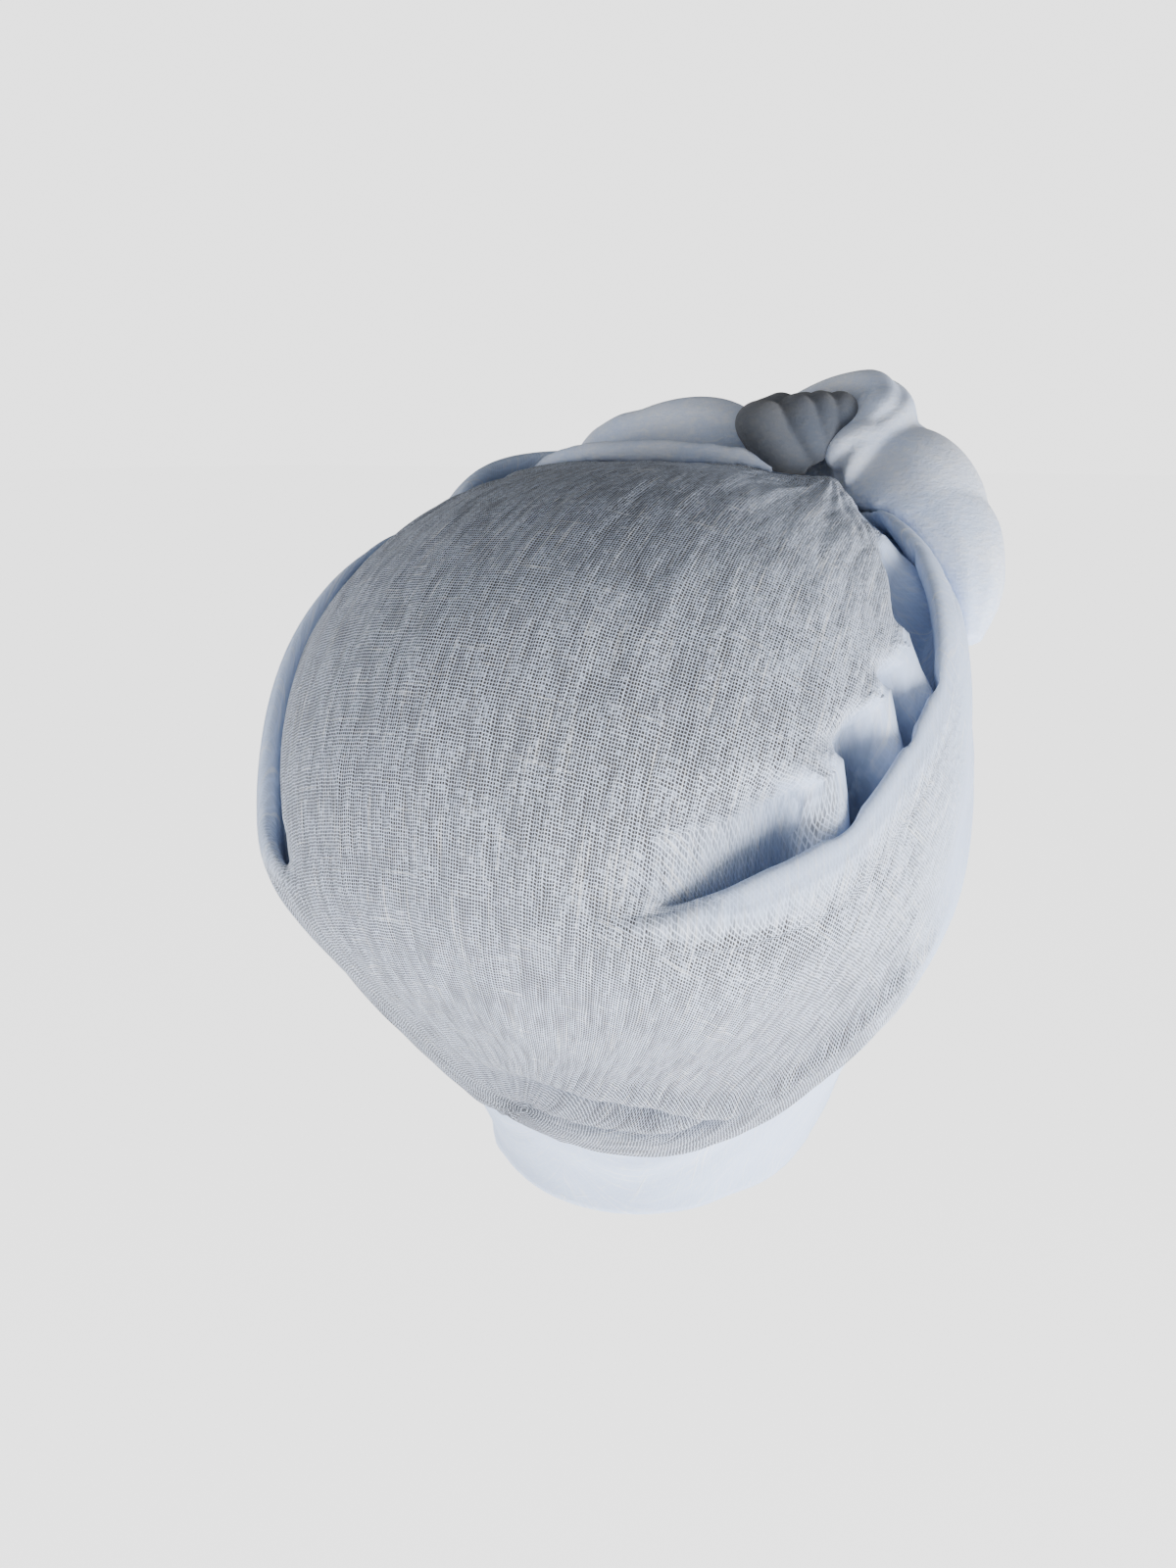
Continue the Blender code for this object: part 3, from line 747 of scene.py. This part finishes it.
# It sinks out of the way under the wrap's creases by so many times their depth, from so far above
# the wrap's edge up
SUNK = 1.6
SUNK_FROM = 0.02
SUNK_OVER = 0.05
HEM_STAND = 0.0006
HEM_WIDTH = 0.035
SOFT_FURROWS = (0.012, 0.030, 11.5)
SOFT_DEEP = 0.0006
CLOSE_FURROWS = (0.0045, 0.018, 13.5)
CLOSE_DEEP = 0.00018
BAND_SHEER = 0.04
# Its own creases below the wrap's edge, a second fainter and wider one below each, so many times
# as far from the edge
CREASE_DEPTH = 0.0018
FIRST_WIDTH = 0.022
SECOND_WIDTH = 0.035
SECOND_BELOW = 2.4
SECOND_DEPTH = 0.5
BAND_CREASE_COLUMNS = ("turn", "below", "deep")
BAND_CREASES = (
    (-60, 0.07, 0.0),
    (-20, 0.06, 0.3),
    (10, 0.06, 1.0),
    (35, 0.055, 1.0),
    (55, 0.06, 0.8),
    (75, 0.08, 0.4),
    (100, 0.10, 0.0),
)


def nape_band():
    turn = np.linspace(-180, 180, BAND_TURNS, endpoint=False)[:, None]
    edge = around(RIM, RIM_COLUMNS, "edge", turn)
    start = edge - BAND_OVERLAP
    share = np.linspace(0, 1, BAND_ROWS)[None, :]
    down = start + (2 - start) * share
    point, _, outward = outline_frame(turn, down)
    under = (CLOTH + BAND_GAP) * (1 - eased((down - edge) / FLUSH))
    under += SUNK * CREASE_DEEP * eased((edge - down - SUNK_FROM) / SUNK_OVER)
    smooth = in_head(turn, point)
    across, distance = grain(smooth)
    below = around(BAND_CREASES, BAND_CREASE_COLUMNS, "below", turn)
    deep = np.clip(around(BAND_CREASES, BAND_CREASE_COLUMNS, "deep", turn), 0, 1)
    first = np.exp(-(((down - edge - below) / FIRST_WIDTH) ** 2)) * deep
    second = np.exp(-(((down - edge - SECOND_BELOW * below) / SECOND_WIDTH) ** 2))
    second = second * deep * SECOND_DEPTH
    hem = np.exp(-(((2 - down) / HEM_WIDTH) ** 2)) * HEM_STAND
    places = in_head(turn, point + outward * (hem - under - CREASE_DEPTH * (first + second)))
    normal = normals_of(places)
    soft = crinkled(across, distance, *SOFT_FURROWS) * SOFT_DEEP
    close = crinkled(across, distance, *CLOSE_FURROWS) * CLOSE_DEEP
    outer = places + normal * ((soft + close) * fades_at_seam(across))[..., None]
    inner = thinned(places) - thinned(normal) * BAND_CLOTH
    piece = shell("nape_band_cloth", outer, inner, None, None)
    across = np.concatenate((across.ravel(), thinned(across).ravel()))
    distance = np.concatenate((distance.ravel(), thinned(distance).ravel()))
    lay_grain(piece, across, distance, sheer=np.full(across.size, BAND_SHEER))
    piece.data.materials.append(gauze_material("folded gauze"))
    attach(piece, "root")
    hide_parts("nape_band")


nape_band()


# The knot over the brow: the scarf's two ends, in one bunch of gauze, crossed and tied. Two puffed
# loops go off to the sides and lie on the wrap, with smaller folds over the top and round behind.

KNOT_PLACE = (-0.0195, -0.062, 0.131)
KNOT_REACH = 0.060
ROLL_SIDES = 72
ROLL_STEPS = 150
REST = 0.0009
# The wrap's rows that lie hidden in its pleat, counted from the end of the crown
HOLLOW_ROWS = (-2, 20)
# How many lines, hairs and paler patches of the bunched cloth's noise go to a metre
LINES_A_METRE = (420.0, 420.0, 900.0)
FUZZ_A_METRE = 1500.0
PATCHES_A_METRE = 45.0
BUNCHED_RELIEF = 0.00022
# Right, ahead and up are shares of KNOT_REACH from the knot's middle towards the wearer's right,
# the face side and the top; wide and deep are shares of each roll's own half sizes
ROLL_COLUMNS = ("right", "ahead", "up", "wide", "deep")
LOOPS = (
    (-1.40, 0.10, -0.80, 0.20, 0.20),
    (-1.36, 0.13, -0.60, 0.54, 0.50),
    (-1.20, 0.17, -0.31, 0.78, 0.74),
    (-0.92, 0.18, -0.12, 0.80, 0.76),
    (-0.58, 0.16, -0.05, 0.66, 0.62),
    (-0.24, 0.14, -0.19, 0.48, 0.50),
    (0.08, 0.12, -0.27, 0.46, 0.50),
    (0.32, 0.10, -0.28, 0.62, 0.58),
    (0.52, 0.02, -0.27, 0.82, 0.88),
    (0.68, -0.10, -0.40, 0.90, 0.98),
    (0.81, -0.26, -0.60, 0.78, 0.86),
    (0.93, -0.42, -0.82, 0.54, 0.56),
    (0.99, -0.52, -1.00, 0.20, 0.20),
)
TOP_FOLD = (
    (-0.40, 0.26, -0.12, 0.30, 0.30),
    (-0.26, 0.36, 0.02, 0.64, 0.64),
    (-0.02, 0.40, 0.10, 0.92, 0.92),
    (0.20, 0.36, 0.12, 1.02, 1.02),
    (0.35, 0.20, 0.05, 1.00, 0.95),
    (0.42, -0.01, 0.00, 0.86, 0.74),
    (0.37, -0.15, -0.11, 0.62, 0.54),
    (0.30, -0.22, -0.21, 0.26, 0.26),
)
# The top fold's end drapes down behind the coil, another crosses over the start of the right loop,
# and the end that goes off to the left runs along the wrap's edge as a narrow roll
DRAPED_FOLD = (
    (0.31, 0.30, 0.14, 0.6, 0.6),
    (0.30, 0.15, 0.10, 1.0, 1.0),
    (0.29, 0.01, 0.00, 1.0, 1.0),
    (0.25, -0.12, -0.09, 0.9, 0.9),
    (0.22, -0.20, -0.21, 0.4, 0.4),
)
CROSSING_FOLD = (
    (0.20, -0.19, -0.20, 0.4, 0.4),
    (0.28, -0.15, -0.12, 0.9, 0.9),
    (0.41, -0.04, -0.09, 1.2, 1.1),
    (0.51, 0.14, -0.11, 1.0, 1.0),
    (0.56, 0.30, -0.18, 0.5, 0.5),
)
LEFT_ROLL = (
    (-1.45, -0.40, -0.26, 0.3, 0.3),
    (-1.15, -0.43, -0.19, 0.8, 0.8),
    (-0.85, -0.44, -0.16, 0.9, 0.9),
    (-0.55, -0.42, -0.16, 0.9, 0.9),
    (-0.28, -0.35, -0.18, 0.8, 0.8),
    (-0.06, -0.28, -0.20, 0.5, 0.5),
)


def laid_surface():
    """The wrap's outside without the hollow of its pleat, for laying the knot on it."""
    hidden = range(CROWN_ROWS + HOLLOW_ROWS[0], CROWN_ROWS + HOLLOW_ROWS[1])
    rows = [k for k in range(0, wrap_outside.shape[1], 2) if k not in hidden]
    grid = wrap_outside[::3][:, rows]
    many, long = grid.shape[:2]
    points = [Vector(p) for p in grid.reshape(-1, 3)]
    faces = [
        (i * long + k, i * long + k + 1, (i + 1) % many * long + k + 1, (i + 1) % many * long + k)
        for i in range(many)
        for k in range(long - 1)
    ]
    faces.append(tuple(i * long for i in range(many)))
    return BVHTree.FromPolygons(points, faces)


ground = laid_surface()
HEAD_MIDDLE = Vector((0, 0, GIRTH_RADIUS * 0.3))


def height_over(place):
    """How far out the wrap reaches on the line from the head's middle to a place."""
    out = (place - HEAD_MIDDLE).normalized()
    hit = ground.ray_cast(HEAD_MIDDLE + out * GIRTH_RADIUS * 4, -out)[0]
    return out, (hit - HEAD_MIDDLE).length if hit else 0.0


def roll(name, rows, wide, deep, folds, fill):
    """A roll of bunched cloth that follows a path over the knot and lies on the wrap under it."""
    path = eased_table(rows, ROLL_COLUMNS, ROLL_STEPS)
    middle = np.array(KNOT_PLACE)
    centres = [
        Vector(middle + KNOT_REACH * np.array((-right, -ahead, up)))
        for right, ahead, up in zip(path["right"], path["ahead"], path["up"])
    ]
    points = []
    for i, centre in enumerate(centres):
        along = (centres[min(i + 1, ROLL_STEPS - 1)] - centres[max(i - 1, 0)]).normalized()
        out = centre - HEAD_MIDDLE
        side = along.cross(out).normalized()
        out = side.cross(along)
        way, under = height_over(centre)
        depth = deep * path["deep"][i]
        raised = max(under + REST + depth * 0.5 - (centre - HEAD_MIDDLE).length, 0)
        for k in range(ROLL_SIDES):
            angle = 2 * pi * k / ROLL_SIDES
            dent = folds(i / (ROLL_STEPS - 1), angle)
            point = centre + side * (wide * path["wide"][i] * cos(angle) * dent)
            point += out * (depth * sin(angle) * dent)
            point += way * raised
            over, below = height_over(point)
            reach = (point - HEAD_MIDDLE).length
            if fill is not None:
                share = max(-sin(angle), 0) ** 0.5
                reach += (below + REST + fill - reach) * share
            points.append(HEAD_MIDDLE + over * max(reach, below + REST * 0.5))
    first = sum(points[:ROLL_SIDES], Vector()) / ROLL_SIDES
    final = sum(points[-ROLL_SIDES:], Vector()) / ROLL_SIDES
    faces = []
    for k in range(ROLL_SIDES):
        n = (k + 1) % ROLL_SIDES
        faces.append((len(points), n, k))
        for i in range(ROLL_STEPS - 1):
            a = i * ROLL_SIDES
            b = a + ROLL_SIDES
            faces.append((a + k, a + n, b + n, b + k))
        a = (ROLL_STEPS - 1) * ROLL_SIDES
        faces.append((a + k, a + n, len(points) + 1))
    mesh = bpy.data.meshes.new(name)
    mesh.from_pydata([tuple(p) for p in [*points, first, final]], [], faces)
    bm = bmesh.new()
    bm.from_mesh(mesh)
    bmesh.ops.recalc_face_normals(bm, faces=bm.faces)
    bm.to_mesh(mesh)
    bm.free()
    mesh.shade_smooth()
    made = bpy.data.objects.new(name, mesh)
    bpy.context.scene.collection.objects.link(made)
    return made


def furrow(angle, at, width):
    """How deep into one furrow round a roll a place lies, from 0 to 1."""
    off = (angle - at + pi) % (2 * pi) - pi
    return exp(-((off / width) ** 2))


def loop_folds(share, angle):
    """Furrows that gather into the middle of the knot and fade out over the puffed loops."""
    middle = exp(-(((share - 0.50) / 0.12) ** 2))
    ends = exp(-((share / 0.10) ** 2)) + exp(-(((1 - share) / 0.10) ** 2))
    made = 1 - 0.13 * furrow(angle, 1.1 + 0.7 * share, 0.20) * (0.6 + 0.4 * middle)
    made -= 0.12 * furrow(angle, 2.1 - 0.5 * share, 0.18) * (0.45 + 0.55 * max(middle, ends))
    made -= 0.13 * furrow(angle, 0.2 + 0.5 * share, 0.20) * middle
    made -= 0.08 * abs(sin(4.5 * angle + 3 * share)) ** 2 * max(middle, ends)
    return made + 0.03 * noise.noise(Vector((share * 9, cos(angle) * 1.5, sin(angle) * 1.5)))


def top_folds(share, angle):
    """Two furrows along the fold over the top, one of them running out."""
    made = 1 - 0.14 * furrow(angle, 0.9 + 0.8 * share, 0.22)
    made -= 0.10 * furrow(angle, 2.3, 0.25) * (1 - share)
    return made + 0.04 * noise.noise(Vector((share * 7, cos(angle) * 1.5 + 4, sin(angle) * 1.5)))


def slight_folds(share, angle):
    """Hardly any, for the narrow folds and the coil."""
    return 1 + 0.03 * noise.noise(Vector((share * 5, cos(angle) * 1.2 + 9, sin(angle) * 1.2)))


def bunched_material(name, dim, tone_and_painted_shade):
    """Soft bunched gauze: the weave hardly shows, and the threads crowd into fine uneven lines."""
    made = Nodes(name)
    coordinates = made.tree.nodes.new("ShaderNodeTexCoord").outputs["Object"]
    parts = zip(made.parts(coordinates), LINES_A_METRE)
    lines = made.noise(made.place(*(made.times(part, many) for part, many in parts)), 1.0, 3.0)
    fuzz = made.noise(coordinates, FUZZ_A_METRE)
    patch = made.noise(coordinates, PATCHES_A_METRE, 3.0)
    light = made.ramp(lines, 0.42, 0.72, 0.0, 0.35)
    light = made.plus(light, made.ramp(patch, 0.32, 0.68, 0.0, 0.6))
    # The threads' colours are scaled: a slight tone on the loops, and painted shade on the coil
    darker, lighter = (
        (*(part * tone_and_painted_shade for part in colour[:3]), 1) for colour in (THREAD, THREAD_LIGHT)
    )
    threads = made.mixed(light, darker, lighter)
    shaded = made.mixed(made.ramp(fuzz, 0.55, 0.25, 0.02, dim), threads, BETWEEN)
    made.link(shaded, made.shader.inputs["Base Color"])
    made.raised(made.plus(lines, made.times(fuzz, 0.5)), BUNCHED_RELIEF)
    made.cotton(0.9, 0.15)
    return made.material


def joined(name, rolls, voxel, softened):
    """Rolls pressed together into one piece of cloth, with the creases between them softened."""
    base = rolls[0]
    bm = bmesh.new()
    for piece in rolls:
        bm.from_mesh(piece.data)
    bm.to_mesh(base.data)
    bm.free()
    for piece in rolls[1:]:
        bpy.data.objects.remove(piece)
    base.name = name
    remesh = base.modifiers.new("press", "REMESH")
    remesh.mode = "VOXEL"
    remesh.voxel_size = voxel
    smooth = base.modifiers.new("soften", "SMOOTH")
    smooth.factor = 0.5
    smooth.iterations = softened
    bpy.context.view_layer.update()
    pressed = base.evaluated_get(bpy.context.evaluated_depsgraph_get())
    made = bpy.data.meshes.new_from_object(pressed)
    base.modifiers.clear()
    base.data = made
    made.shade_smooth()
    return base


loops = joined(
    "knot_loops_cloth",
    [
        roll("loops", LOOPS, 0.0200, 0.0175, loop_folds, 0.0),
        roll("top_fold", TOP_FOLD, 0.0100, 0.0090, top_folds, 0.0045),
        roll("draped_fold", DRAPED_FOLD, 0.0052, 0.0046, slight_folds, None),
        roll("crossing_fold", CROSSING_FOLD, 0.0075, 0.0065, slight_folds, None),
        roll("left_roll", LEFT_ROLL, 0.0048, 0.0046, slight_folds, None),
    ],
    0.0009,
    3,
)
loops.data.materials.append(bunched_material("bunched gauze", 0.08, 1.05))
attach(loops, "root")
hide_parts("knot_loops")


# The coil round the knot's middle: the scarf's end wound in four narrow turns that fan out over the
# top and draw together at the back, where they go under.

COIL_HALF = 0.0068
COIL_TURNS = (
    (
        (-0.17, 0.07, 0.08, 0.90, 0.80),
        (-0.17, -0.14, 0.01, 1.25, 1.00),
        (-0.13, -0.22, -0.03, 1.40, 1.20),
        (-0.04, -0.25, -0.12, 1.20, 1.00),
        (0.10, -0.19, -0.19, 0.60, 0.60),
    ),
    (
        (-0.07, 0.13, 0.09, 0.70, 0.70),
        (-0.04, -0.04, 0.05, 0.95, 0.90),
        (0.02, -0.17, 0.01, 1.00, 1.00),
        (0.10, -0.21, -0.08, 0.90, 0.80),
        (0.15, -0.18, -0.18, 0.50, 0.50),
    ),
    (
        (0.02, 0.18, 0.09, 0.60, 0.70),
        (0.05, 0.01, 0.07, 0.80, 0.85),
        (0.11, -0.10, 0.03, 0.85, 0.90),
        (0.17, -0.16, -0.07, 0.80, 0.70),
        (0.18, -0.16, -0.17, 0.45, 0.45),
    ),
    (
        (0.10, 0.24, 0.09, 0.50, 0.60),
        (0.13, 0.07, 0.08, 0.70, 0.75),
        (0.19, -0.03, 0.05, 0.75, 0.80),
        (0.21, -0.10, -0.05, 0.70, 0.60),
        (0.20, -0.14, -0.15, 0.40, 0.40),
    ),
)
coil = joined(
    "knot_coil_cloth",
    [
        roll(f"coil_turn_{i}", rows, COIL_HALF, COIL_HALF, slight_folds, None)
        for i, rows in enumerate(COIL_TURNS, 1)
    ],
    0.0006,
    2,
)
# The coil's threads are darkened to a small share of their colour: painted shade, for the shade the
# coil lies in
coil.data.materials.append(bunched_material("wound gauze in painted shade", 0.06, 0.145))
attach(coil, "root")
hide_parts("knot_coil")


# The studio: a plain pale floor that glows well below, low soft lights on the right and behind on
# the left, pale walls, and a camera over the back of the right side that looks down on the crown.

FLOOR_HEIGHT = -0.75
FLOOR_HALF = 40.0
FLOOR_GLOW = 2.2
corners = ((-1, -1), (1, -1), (1, 1), (-1, 1))
corners = [(x * FLOOR_HALF, y * FLOOR_HALF, FLOOR_HEIGHT) for x, y in corners]
floor_mesh = bpy.data.meshes.new("floor")
floor_mesh.from_pydata(corners, [], [(0, 1, 2, 3)])
floor = bpy.data.objects.new("floor", floor_mesh)
bpy.context.scene.collection.objects.link(floor)
pale = Nodes("pale floor")
pale.shader.inputs["Base Color"].default_value = (0.92, 0.92, 0.92, 1)
pale.shader.inputs["Roughness"].default_value = 0.9
pale.shader.inputs["Emission Color"].default_value = (1, 1, 1, 1)
pale.shader.inputs["Emission Strength"].default_value = FLOOR_GLOW
floor.data.materials.append(pale.material)

CAMERA_PLACE = Vector((-0.1690, 0.3099, 0.125))
VIEW = Vector((0.50581, -0.82021, -0.26724))
camera = bpy.data.objects.new("camera", bpy.data.cameras.new("camera"))
bpy.context.scene.collection.objects.link(camera)
camera.location = CAMERA_PLACE
camera.rotation_mode = "QUATERNION"
camera.rotation_quaternion = VIEW.to_track_quat("-Z", "Y")
camera.data.lens = 28.125
camera.data.sensor_width = 36
camera.data.clip_start = 0.01
bpy.context.scene.camera = camera


def soft_light(name, place, size, power):
    """A square of soft light that faces the wrap."""
    made = bpy.data.objects.new(name, bpy.data.lights.new(name, "AREA"))
    made.data.size = size
    made.data.energy = power
    made.location = place
    made.rotation_mode = "QUATERNION"
    made.rotation_quaternion = (-Vector(place)).to_track_quat("-Z", "Y")
    bpy.context.scene.collection.objects.link(made)


soft_light("key", (-1.20, 0.45, -0.36), 0.6, 40.0)
soft_light("fill", (0.80, 1.15, -0.30), 0.5, 11.0)

# The walls light the cloth from the sides more than from above, and behind it they look pale
SIDE_LIGHT = 0.51
TOP_LIGHT = 0.32
PALE = 2.6
world = bpy.data.worlds.new("studio")
bpy.context.scene.world = world
world.use_nodes = True
nodes = world.node_tree.nodes
links = world.node_tree.links
up = nodes.new("ShaderNodeSeparateXYZ")
links.new(nodes.new("ShaderNodeTexCoord").outputs["Generated"], up.inputs[0])
walls = nodes.new("ShaderNodeMapRange")
for value, socket in zip((-0.05, 0.5, SIDE_LIGHT, TOP_LIGHT), list(walls.inputs)[1:5]):
    socket.default_value = value
links.new(up.outputs[2], walls.inputs[0])
seen = nodes.new("ShaderNodeMix")
links.new(nodes.new("ShaderNodeLightPath").outputs["Is Camera Ray"], seen.inputs["Factor"])
links.new(walls.outputs[0], seen.inputs[2])
seen.inputs[3].default_value = PALE
links.new(seen.outputs[0], nodes["Background"].inputs["Strength"])
nodes["Background"].inputs["Color"].default_value = (1, 1, 1, 1)
